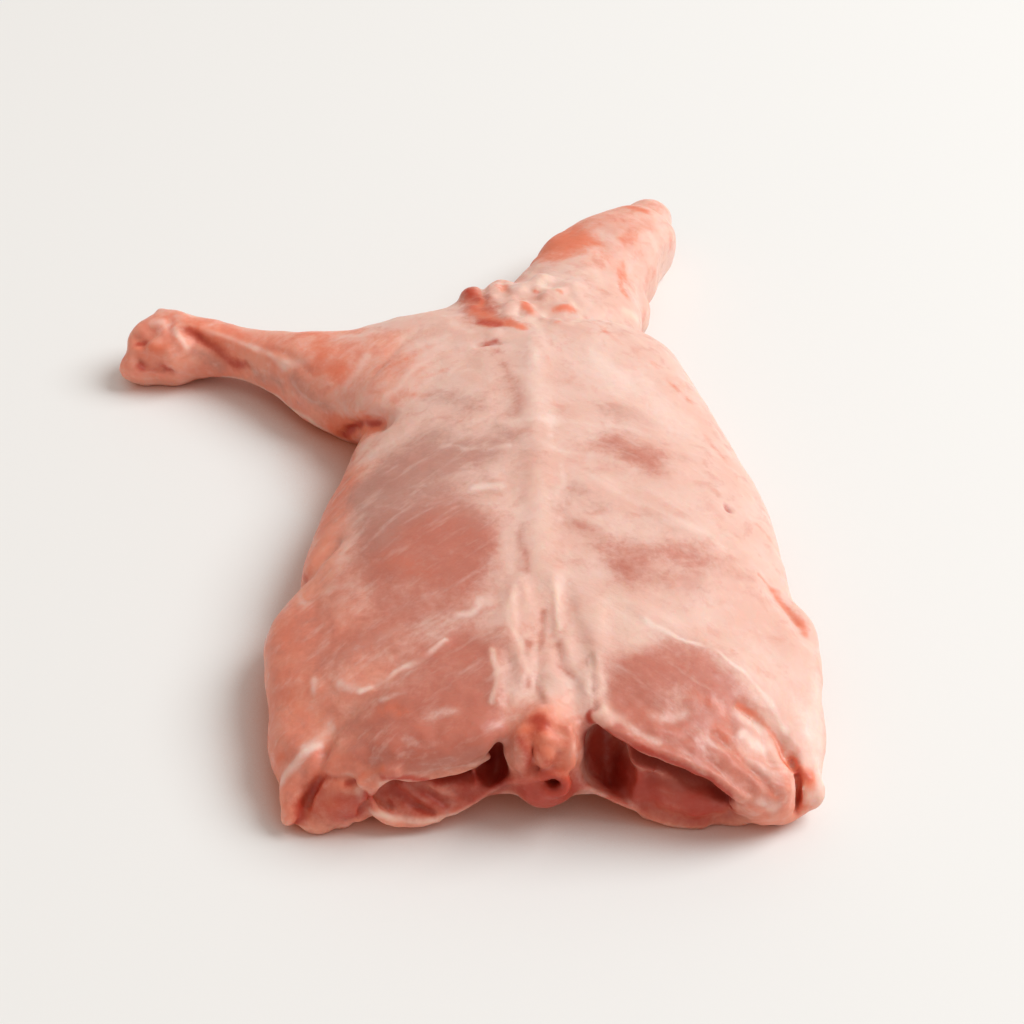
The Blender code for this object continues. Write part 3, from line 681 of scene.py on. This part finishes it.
RUST = (
    # left side and hip
    (8, 0.35, ((-61, 95, 49), (-46, 87, 50))),
    (4, 0.4, ((-96, 117, 28), (-92, 143, 27), (-86, 162, 29))),
    (6, 0.4, ((-101, 79, 30), (-95, 58, 34))),
    (4, 0.5, ((-63, 19, 40), (-54, 20, 44), (-51, 16, 43))),
    (2, 0.35, LEFT_SEAM),
    (4, 0.4, ((-96, 40, 31), (-91, 28, 30))),
    (4, 0.4, ((-78, 6, 29), (-71, 3, 35))),
    # left corner
    (4, 0.6, ((-97, 14, 23), (-99, 10, 12), (-95, -1, 12))),
    (4, 0.9, ((-83, 1, 22), (-87, 0, 15), (-91, -5, 8))),
    (1.8, 0.7, ((-82, 1, 24), (-70, -4, 27), (-58, -5, 35))),
    (3, 0.4, ((-82, -6, 14), (-74, -7, 18))),
    (1.6, 0.6, ((-66, -4, 25), (-63, -5, 20))),
    # right edge, side and corner
    (2.4, 0.5, ((50, 231, 44), (58, 218, 42), (66, 211, 38))),
    (2.4, 0.4, ((67, 192, 40), (75, 176, 39), (81, 158, 39))),
    (2.4, 0.6, ((87, 128, 38), (92, 124, 34))),
    (2.6, 0.8, FLANK_BULGE),
    (2.6, 0.8, ((100, 78, 29), (102, 72, 29))),
    (1.4, 0.6, FLANK_CREASE),
    (4, 0.5, ((53, 23, 45), (64, 20, 41), (66, 14, 38))),
    (1.6, 0.8, CORNER_CREASE),
    (1.6, 0.5, CORNER_FOLD),
    (2.4, 0.5, ((61, 13, 39), (67, 10, 36))),
    (4.5, 1, ((90, 9, 24), (93, 5, 23), (96, 4, 22))),
    (4, 1, ((92, 5, 20), (93, 1, 12))),
    (2, 0.6, ((83, 2, 28), (87, -4, 24))),
    (3.4, 0.5, ((70, -10, 23), (81, -9, 17))),
    (3, 0.4, ((34, -1, 38), (45, -5, 36))),
    # knots and neck
    (4, 0.5, ((-30, 285, 46), (-26, 271, 47), (-20, 256, 50))),
    (3.6, 1, ((-6, 270, 51), (-4, 263, 51))),
    (3.4, 1, ((9, 268, 50), (13, 270, 49))),
    (3.4, 1, ((-14, 254, 51), (-8, 249, 52))),
    (1.6, 0.8, ((-1, 285, 48), (1, 284, 48))),
    (1.6, 0.7, ((9, 282, 49), (11, 281, 49))),
    (2.2, 0.6, ((7, 253, 51), (9, 255, 51))),
    (2.2, 0.7, ((-19, 293, 44), (-16, 295, 43), (-13, 284, 47))),
    (7, 1, ((6, 336, 36), (10, 346, 35), (15, 356, 34))),
    (6, 0.7, ((17, 338, 38), (25, 338, 40))),
    (5, 0.6, ((3, 332, 36), (12, 324, 40), (22, 328, 41))),
    (4.4, 1, ((49, 376, 35), (54, 373, 36))),
    (2.4, 0.6, ((67, 361, 26), (66, 359, 21))),
    (4.4, 0.6, ((43, 342, 39), (47, 346, 38))),
    (3.6, 0.6, ((41, 326, 36), (42, 316, 35))),
    (3, 0.4, ((40, 304, 36), (41, 298, 36))),
    (2.4, 0.5, ((39, 322, 36), (40, 297, 37))),
    (2.4, 0.4, ((53, 326, 25), (59, 338, 25))),
    (3, 0.4, ((31, 332, 39), (34, 323, 38))),
    (2, 0.5, ((26, 259, 47), (30, 249, 49), (36, 240, 48))),
    (2, 0.5, ((0, 227, 54), (4, 218, 52))),
    # knee, foreleg, shoulder and armpit
    (5, 0.5, ((-188, 275, 23), (-185, 271, 22))),
    (3.4, 0.8, ((-179, 269, 26), (-176, 269, 25))),
    (4, 0.6, ((-174, 287, 31), (-168, 288, 32))),
    (5, 0.9, ((-161, 278, 29), (-156, 276, 27), (-151, 272, 25), (-146, 269, 22), (-141, 266, 20))),
    (5, 0.5, ((-163, 285, 31), (-151, 279, 30), (-138, 271, 30))),
    (4, 0.5, ((-191, 265, 12), (-185, 266, 9))),
    (8, 0.6, ((-103, 252, 37), (-92, 241, 38), (-87, 234, 37))),
    (3, 0.5, ((-100, 238, 34), (-94, 236, 36), (-90, 232, 35))),
    (2.4, 0.5, ((-69, 227, 43), (-58, 233, 47), (-49, 240, 47))),
    (2.4, 0.5, ((-58, 207, 44), (-51, 216, 46), (-42, 221, 48))),
    (6, 0.7, ((-111, 270, 33), (-101, 265, 36), (-89, 269, 35), (-82, 265, 38))),
    (3, 0.6, ((-88, 224, 10), (-77, 207, 27), (-69, 202, 34))),
    (3, 0.5, ((-83, 225, 3), (-80, 176, 32))),
    (9, 0.95, ((-90, 226, 12), (-80, 218, 19), (-73, 206, 30))),
    # the cut end: the sawn backbone, what lies below it, both openings and the left corner
    (9, 0.85, ((-5, 5, 46), (0, 2, 40), (6, 2, 35))),
    (8, 0.8, ((-6, -3, 25), (2, -5, 20), (9, -3, 25))),
    (10, 0.4, ((-56, 0, 13), (-40, 0, 12))),
    (12, 0.4, ((40, 0, 14), (60, -4, 12))),
    (9, 0.55, ((-80, -3, 14), (-74, -4, 20))),
    # the neck's left side, the glands and the upper arm
    (10, 0.75, ((-3, 342, 30), (8, 350, 34), (14, 340, 38))),
    (15, 0.45, ((0, 332), (18, 354))),
    (9, 0.6, ((11, 344, 35), (20, 344, 38))),
    (6, 0.6, ((-33, 290, 42), (-28, 272, 46), (-24, 256, 48))),
    (14, 0.35, ((-120, 255), (-100, 250), (-88, 252))),
)
# Muscle under hardly any film, redder than the back.
RUDDY = (
    # left side and corner
    (30, 1, ((-100, 150, 15), (-110, 90, 15))),
    (26, 0.75, ((-112, 60, 15), (-104, 10, 12))),
    (18, 0.9, ((-88, 160), (-96, 110), (-96, 70), (-92, 30), (-80, 4))),
    (22, 0.6, ((-70, 60), (-62, 30))),
    # the foreleg
    (26, 1, ((-190, 280, 15), (-150, 275, 18), (-115, 255, 20), (-92, 240, 20))),
    (14, 0.5, ((-70, 245), (-66, 225), (-76, 200))),
    # the neck's left and the tip of it
    (13, 0.8, ((-12, 330, 25), (-2, 350, 25), (10, 368, 25))),
    (15, 0.7, ((4, 340), (22, 366), (45, 384))),
    (22, 0.4, ((30, 330), (52, 365))),
    (12, 0.6, ((-34, 290, 30), (-20, 300, 35), (-8, 312, 32))),
    # the cut end
    (20, 1, ((-80, -4, 12), (-50, 0, 15), (-30, 0, 15))),
    (16, 1, ((-60, 2), (-30, 6))),
    (16, 1, ((0, 4, 44), (0, -4, 20))),
    (20, 0.9, ((36, 0, 15), (60, -4, 12), (84, -8, 8))),
    (10, 0.6, ((34, 8), (66, 2))),
)
# Wet red meat where a knife went in or a vessel ends, and painted shade: the same dark red laid
# along creases, pits, gaps and slits, under the flaps and inside the openings.
BLOOD_AND_SHADE = (
    # the armpit's crease and the knee pits darkened as painted shade, the shank's red band, the left
    # notch
    (2.6, 1, ((-89, 225, 9), (-86, 223, 12), (-80, 218, 19), (-77, 213, 24), (-73, 206, 30),
              (-71, 205, 32))),
    (2.4, 0.9, ((-188, 276, 23), (-185, 276, 24))),
    (3, 0.9, ((-187, 269, 18), (-182, 266, 16), (-178, 267, 17))),
    (2.6, 0.8, ((-178, 265, 14), (-174, 267, 16), (-170, 264, 13))),
    (5, 0.25, ((-161, 277, 28), (-151, 271, 24), (-142, 266, 20))),
    (3, 0.75, ((-165, 279, 29), (-158, 276, 26), (-151, 272, 24), (-146, 269, 21), (-141, 266, 19),
               (-135, 263, 19))),
    (2, 0.7, ((-97, 110, 27), (-95, 106, 27))),
    # the glands, and the small cut below them
    (5, 0.8, ((-34, 288, 45), (-30, 280, 47))),
    (4, 0.5, ((-29, 272, 48), (-22, 268, 48))),
    (3.6, 0.8, ((-27, 258, 49), (-20, 254, 50))),
    (2.6, 0.8, ((-25, 238, 49), (-21, 238, 50))),
    (2, 0.5, ((-19, 230, 51), (-18, 235, 51))),
    # right edge
    (1.8, 0.7, ((75, 132, 45), (77, 129, 43))),
    # left corner, its V and the left opening: red on the lobe, and painted shade in the slits, the V,
    # the gaps between the strips and under the left flap's edge
    (3, 1, ((-83, 0, 22), (-85, 1, 16), (-88, -1, 14), (-90, -5, 10), (-91, -6, 7))),
    (9, 0.62, ((-80, -3, 15), (-71, -6, 14))),
    (1.4, 0.5, ((-82, 1, 24), (-76, -2, 27))),
    (2.8, 0.6, ((-73, -5, 21), (-70, -5, 21), (-67, -5, 20), (-65, -3, 19))),
    (1.4, 0.9, ((-71, -4, 27), (-66, -4, 28))),
    (1.6, 0.9, ((-66, -3, 25), (-63, -5, 20), (-68, -4, 12), (-73, -7, 11))),
    (2.4, 0.8, ((-61, -5, 24), (-63, -5, 19))),
    *zip((1.4, 1.3, 1.3), (0.6, 0.6, 0.5), STRIP_GAPS),
    (2, 0.9, ((-58, -6, 32), (-49, -4, 30), (-39, 6, 20), (-28, 8, 20))),
    (2, 0.6, ((-17, 13, 19), (-17, 3, 20))),
    # the sawn backbone: a red spot on its top, and painted shade between its ridges and below it
    (3.4, 0.9, ((-4, 8, 47), (-2, 5, 47))),
    (2.6, 0.55, ((-5, 2, 44), (-7, -1, 39), (-8, 0, 33))),
    (2.6, 0.5, ((5, 1, 41), (2, -3, 34))),
    (1.8, 0.7, ((-10, 2, 43), (-9, -1, 41), (-8, -2, 36))),
    (5, 0.5, ((-8, -2, 22), (0, -4, 18), (8, -5, 26))),
    (2.6, 0.6, ((-2, -3, 31), (1, -4, 26))),
    (1.6, 0.6, ((-2, -1, 42), (0, -3, 37))),
    # painted shade under the flap over the right opening and in the corner's slit, and red on its muscle
    (2.1, 1, ((16, 13, 46), (19, 9, 45), (28, 3, 42.8), (39, -2, 39.8), (50, -4, 35.6), (59, -6, 32.3),
              (67, -9, 26))),
    (3.4, 0.6, ((34, 3, 25), (38, 0, 17))),
    (2, 0.6, ((52, -3, 20), (63, -8, 23), (71, -10, 22))),
    (2, 0.8, ((90, 9, 25), (91, 7, 24), (92, 4, 20), (92.5, 1, 13))),
    (2.2, 0.6, ((93, 6, 23), (96, 4, 22))),
    # painted shade in the holes, the canal and below it; dark red on the openings' muscles, partly
    # painted shade
    (7, 1, ((-18, 19, 22), (-17, 13, 18), (-20, 7, 17))),
    (8, 1, ((19, 23, 25), (20, 15, 17), (27, 6, 14))),
    (9, 0.75, ((-54, 3, 14), (-42, 3, 13), (-30, 5, 15))),
    (12, 0.9, ((34, 4, 20), (46, 0, 16), (60, -4, 13))),
    (5, 0.8, ((2.5, -4, 27), (2, -4, 22))),
    (11, 0.95, ((-6, -2, 22), (2, -4, 16), (8, -2, 22))),
)
# Painted shade: a near-black red laid inside the holes, the openings and the canal, and in the
# slits under the flaps and in the corners, where hardly any light gets in.
PAINTED_SHADE = (
    (7, 1, ((-18, 12, 24), (-18, 7, 20))),
    (4, 0.8, ((-57, 3, 24), (-50, 7, 24), (-42, 8, 23), (-33, 9, 23), (-26, 10, 22))),
    (9, 0.3, ((-54, 3, 15), (-42, 3, 14), (-30, 5, 16))),
    (12, 0.26, ((34, 4, 20), (46, 0, 16), (60, -4, 13))),
    (9, 0.3, ((-6, -2, 20), (8, -2, 20))),
    (8, 1, ((17, 12, 36), (20, 12, 27), (27, 10, 18))),
    (5.4, 0.9, ((28, 8, 37), (39, 6, 34), (49, 3, 30), (59, 0, 26), (67, -2, 21))),
    (3.4, 1, ((3, 2, 27), (3, -3, 27))),
    (2, 0.4, ((-85, 3, 17), (-89, -1, 11))),
    (2, 0.35, ((91, 8, 25), (92, 4, 19), (91, -1, 11))),
)


def paint(mesh, name, points, facing_up, strokes):
    """Lays strokes over each other and keeps what they cover as an attribute, 0 to 1."""
    left = np.ones(len(points))
    for width, strength, path in strokes:
        left *= 1 - strength * stroke(points, facing_up, path, width)
    layer = mesh.attributes.new(name, "FLOAT", "POINT")
    layer.data.foreach_set("value", (1 - left).astype(np.float32))


normals = vertex_array(flesh.data, "normals")
facing_up = np.clip(normals[:, 2] * 3 + 0.3, 0, 1)
loose = points + 2.2 * strayed(points, 9, (11, 12, 13))
# The layer of blood also holds painted shade, the layer for the openings' insides is painted shade only,
# and the pale layer holds painted highlights too.
LAYERS = {
    "ruddy": RUDDY, "lean": LEAN, "mauve": MAUVE, "pale": PALE, "cream": CREAM,
    "rust": RUST, "blood_and_shade": BLOOD_AND_SHADE, "painted_shade": PAINTED_SHADE,
}
for layer_name, strokes in LAYERS.items():
    paint(flesh.data, layer_name, loose, facing_up, strokes)


# ---------------------------------------------------------------- the finish of raw meat
# Moist muscle with fine fibres under a thin film, a little of the light going through it.

material = bpy.data.materials.new("raw_kid_meat")
material.use_nodes = True
nodes = material.node_tree.nodes
links = material.node_tree.links
shader = nodes["Principled BSDF"]

FLESH_PINK = (0.82, 0.54, 0.46, 1)
DEEP_PINK = (0.79, 0.47, 0.385, 1)
RUDDY_PINK = (0.86, 0.33, 0.22, 1)
RUDDY_DEEP = (0.80, 0.25, 0.16, 1)
ROSE = (0.74, 0.31, 0.235, 1)
LEAN_RED = (0.60, 0.20, 0.14, 1)
LEAN_DEEP = (0.48, 0.13, 0.085, 1)
MAUVE_FILM = (0.50, 0.235, 0.185, 1)
# the pale film's colour, which also paints the highlights
PALE_FILM_AND_HIGHLIGHT = (0.91, 0.69, 0.61, 1)
CREAM_FAT = (0.88, 0.64, 0.53, 1)
RUST_RED = (0.80, 0.19, 0.09, 1)
# the blood's red, also laid as painted shade in creases, slits and openings
BLOOD_AND_SHADE_RED = (0.50, 0.055, 0.028, 1)
# the near-black red of painted shade inside the openings and slits
PAINTED_SHADE_RED = (0.27, 0.017, 0.008, 1)

# The sockets of a mix of colours: its share, the two colours and the result.
MIX_INPUTS = (0, 6, 7)
MIX_RESULT = 2


def node(kind, **settings):
    """A new node with these settings."""
    made = nodes.new(kind)
    for key, value in settings.items():
        setattr(made, key, value)
    return made


def plug(socket, value):
    """Links a socket to another node's output, or sets it to a constant."""
    if isinstance(value, bpy.types.NodeSocket):
        links.new(value, socket)
    else:
        socket.default_value = value


def fed(made, **inputs):
    """Sets or links a node's inputs by name, with _ for a space."""
    for key, value in inputs.items():
        plug(made.inputs[key.replace("_", " ")], value)


def noise(place, size, detail, rough=0.55, twist=0.0):
    """Cloudy chance values about 0.5, one cloud to this many millimetres."""
    made = node("ShaderNodeTexNoise")
    fed(made, Vector=place, Scale=1 / (size * MM), Detail=detail, Roughness=rough, Distortion=twist)
    return made.outputs["Fac"]


def maths(operation, one, two=0.5, three=0.0, clamp=False):
    """A sum worked out for every place, from numbers and other nodes' values."""
    made = node("ShaderNodeMath", operation=operation, use_clamp=clamp)
    for socket, value in zip(made.inputs, (one, two, three)):
        plug(socket, value)
    return made.outputs[0]


def stepped(value, low, high):
    """0 below low and 1 above high, smooth between them."""
    made = node("ShaderNodeMapRange", interpolation_type="SMOOTHSTEP")
    fed(made, Value=value, From_Min=low, From_Max=high)
    return made.outputs["Result"]


def mixed(share, under, over):
    """One colour laid over another by its share."""
    made = node("ShaderNodeMix", data_type="RGBA")
    for number, value in zip(MIX_INPUTS, (share, under, over)):
        plug(made.inputs[number], value)
    return made.outputs[MIX_RESULT]


def layer(name):
    """A painted layer, 0 to 1."""
    made = node("ShaderNodeAttribute", attribute_type="GEOMETRY", attribute_name=name)
    return made.outputs["Fac"]


def stretched(place, angle, scale):
    """Places turned about Z by an angle in degrees and drawn out, for fibres."""
    made = node("ShaderNodeMapping", vector_type="TEXTURE")
    fed(made, Vector=place, Rotation=(0, 0, math.radians(angle)), Scale=scale)
    return made.outputs["Vector"]


place = node("ShaderNodeTexCoord").outputs["Object"]
clouds = noise(place, 26, 4)
patches = noise(place, 9, 4, 0.6, 0.4)
specks = noise(place, 2.6, 4, 0.65)

# Fibres run slantwise off the backbone on both sides.
apart = node("ShaderNodeSeparateXYZ")
fed(apart, Vector=place)
beside = maths("ABSOLUTE", maths("SUBTRACT", apart.outputs["X"], BACKBONE_AT_CUT[0] * MM))
folded = node("ShaderNodeCombineXYZ")
fed(folded, X=beside, Y=apart.outputs["Y"], Z=apart.outputs["Z"])
fibre_place = stretched(folded.outputs["Vector"], 51, (1, 5, 1))
fibres = noise(fibre_place, 5, 4, 0.6)
fine_fibres = noise(fibre_place, 1.6, 3, 0.6)
mottle = maths("MULTIPLY_ADD", specks, 0.45, maths("MULTIPLY", patches, 0.55))


def broken(name, by, low, high, chance):
    """A painted layer with its edges broken up."""
    chance = patches if chance is None else chance
    shifted = maths("MULTIPLY_ADD", maths("SUBTRACT", chance, 0.5), by, layer(name))
    return stepped(shifted, low, high)


def laid(name, over, strength, by, chance=None, low=0.0, high=1.0):
    """The colour so far with a painted layer laid over it."""
    return mixed(maths("MULTIPLY", broken(name, by, low, high, chance), strength), colour, over)


colour = mixed(stepped(clouds, 0.35, 0.65), FLESH_PINK, DEEP_PINK)
colour = laid("ruddy", mixed(stepped(clouds, 0.35, 0.65), RUDDY_PINK, RUDDY_DEEP), 1, 1.2)
colour = mixed(maths("MULTIPLY", stepped(patches, 0.5, 0.7), 0.3), colour, ROSE)
colour = laid("lean", mixed(fibres, LEAN_RED, LEAN_DEEP), 0.95, 1.1, mottle)
colour = laid("mauve", MAUVE_FILM, 0.85, 1.1, mottle)
colour = mixed(maths("MULTIPLY", stepped(fibres, 0.5, 0.75), 0.25), colour, PALE_FILM_AND_HIGHLIGHT)
# pale film, with painted highlights on some crests
colour = laid("pale", PALE_FILM_AND_HIGHLIGHT, 0.85, 1.0, mottle, 0.12)
colour = laid("cream", CREAM_FAT, 0.8, 1.0, mottle, 0.12)
colour = laid("rust", RUST_RED, 0.85, 1.1, mottle, 0.15)
# blood, and painted shade in creases, slits and openings
colour = laid("blood_and_shade", BLOOD_AND_SHADE_RED, 0.95, 0.9, mottle, 0.12)
# painted shade: near-black red inside the openings and slits
colour = laid("painted_shade", PAINTED_SHADE_RED, 1, 0.2, None, 0.1, 0.9)
fed(shader, Base_Color=colour)

gloss = maths("MULTIPLY_ADD", specks, 0.22, 0.36)
gloss = maths("MULTIPLY_ADD", layer("cream"), 0.06, gloss)
fed(shader, Roughness=maths("MULTIPLY_ADD", layer("blood_and_shade"), -0.12, gloss))
dry = maths("MULTIPLY_ADD", maths("ADD", layer("blood_and_shade"), layer("painted_shade")), -0.35, 0.4, True)
fed(
    shader,
    Subsurface_Weight=0.6,
    Subsurface_Radius=(1.0, 0.32, 0.2),
    Subsurface_Scale=0.005,
    Specular_IOR_Level=0.32,
    Coat_Weight=maths("MULTIPLY", stepped(patches, 0.45, 0.7), dry),
    Coat_Roughness=0.2,
)

bump_height = maths("MULTIPLY_ADD", fine_fibres, 0.5, maths("MULTIPLY_ADD", fibres, 0.9, specks))
bump = node("ShaderNodeBump")
fed(bump, Strength=0.35, Distance=0.0006, Height=bump_height)
fed(shader, Normal=bump.outputs["Normal"])

flesh.data.materials.clear()
flesh.data.materials.append(material)
flesh.data.shade_smooth()
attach(flesh, "root")
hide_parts("kid_shoulder")


# ---------------------------------------------------------------- the table and the light
# A seamless white sweep under one large soft lamp, high behind the right shoulder, with
# white walls all round that fill its shadow.

FLOOR_SIZE = 12
FLOOR_WHITE = (0.86, 0.86, 0.85, 1)
# painted shade: the warm red of the floor close to the meat, away from the lamp
FLOOR_SHADE_RED = (0.64, 0.25, 0.13, 1)
SHADE_TINT_REACH = 0.05
KEY_FROM = Vector((3.1, 0.6, 3.4))
KEY_SIZE = 3.2
KEY_WATTS = 180
KEY_WHITE = (0.94, 0.99, 1)
WALL_WHITE = (1, 0.89, 0.82, 1)
WALL_LIGHT = 0.53

half = FLOOR_SIZE / 2
corners = [(-half, -half, 0), (half, -half, 0), (half, half, 0), (-half, half, 0)]
floor_mesh = bpy.data.meshes.new("floor")
floor_mesh.from_pydata(corners, [], [(0, 1, 2, 3)])
floor = bpy.data.objects.new("floor", floor_mesh)
scene.collection.objects.link(floor)
floor_paint = bpy.data.materials.new("white_sweep")
floor_paint.use_nodes = True

# The floor is painted a warm red close to the meat, on the side that the lamp does not reach,
# as painted shade and bounced light. From here the helpers work on the floor's own nodes.
nodes = floor_paint.node_tree.nodes
links = floor_paint.node_tree.links
towards_key = node("ShaderNodeCombineXYZ")
fed(towards_key, **dict(zip("XYZ", KEY_FROM.normalized())))
shelter = node("ShaderNodeAmbientOcclusion", samples=8)
fed(shelter, Distance=SHADE_TINT_REACH, Normal=towards_key.outputs["Vector"])
open_air = node("ShaderNodeMapRange")
fed(open_air, Value=shelter.outputs["AO"], From_Min=0.15, From_Max=0.6)
fed(
    nodes["Principled BSDF"],
    Base_Color=mixed(open_air.outputs["Result"], FLOOR_SHADE_RED, FLOOR_WHITE),
    Roughness=0.7,
    Specular_IOR_Level=0.2,
)
floor.data.materials.append(floor_paint)

world = bpy.data.worlds.new("white_room")
scene.world = world
world.use_nodes = True
fed(world.node_tree.nodes["Background"], Color=WALL_WHITE, Strength=WALL_LIGHT)

key = bpy.data.objects.new("key", bpy.data.lights.new("key", "AREA"))
key.data.shape = "DISK"
key.data.size = KEY_SIZE
key.data.energy = KEY_WATTS
key.data.color = KEY_WHITE
key.location = KEY_FROM
key.rotation_euler = (-KEY_FROM).to_track_quat("-Z", "Y").to_euler()
scene.collection.objects.link(key)
